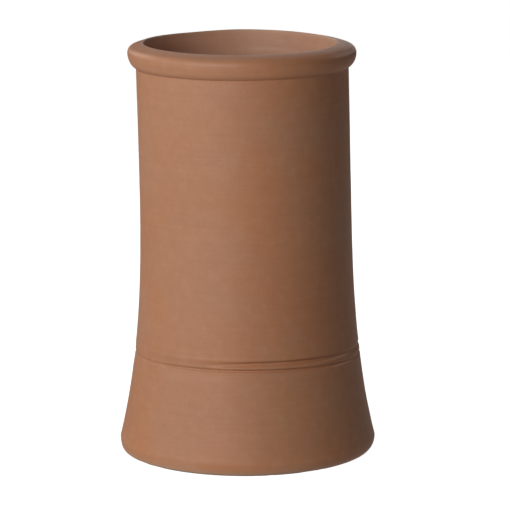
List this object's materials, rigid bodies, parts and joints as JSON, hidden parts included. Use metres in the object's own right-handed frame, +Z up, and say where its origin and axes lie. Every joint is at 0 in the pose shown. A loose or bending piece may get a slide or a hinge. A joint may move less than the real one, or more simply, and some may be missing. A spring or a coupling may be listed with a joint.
{
  "type": "chimney pot",
  "caption": "Hollow round chimney pot of unglazed terracotta with a flared foot, a pair of tooled grooves and a rolled rim.",
  "frame": {"origin": "centre of the foot, on the plane that the pot stands on", "axes": "+Z up along the flue, from the foot to the rolled rim; the pot is round, so +X and +Y are any two directions at right angles"},
  "size_m": [0.2814, 0.2814, 0.45],
  "materials": {
    "terracotta": "matt unglazed terracotta, fine-grained, with faint turning marks and slight colour drift"
  },
  "bodies": {
    "root": {"chimney_pot": "terracotta"}
  },
  "joints": []
}
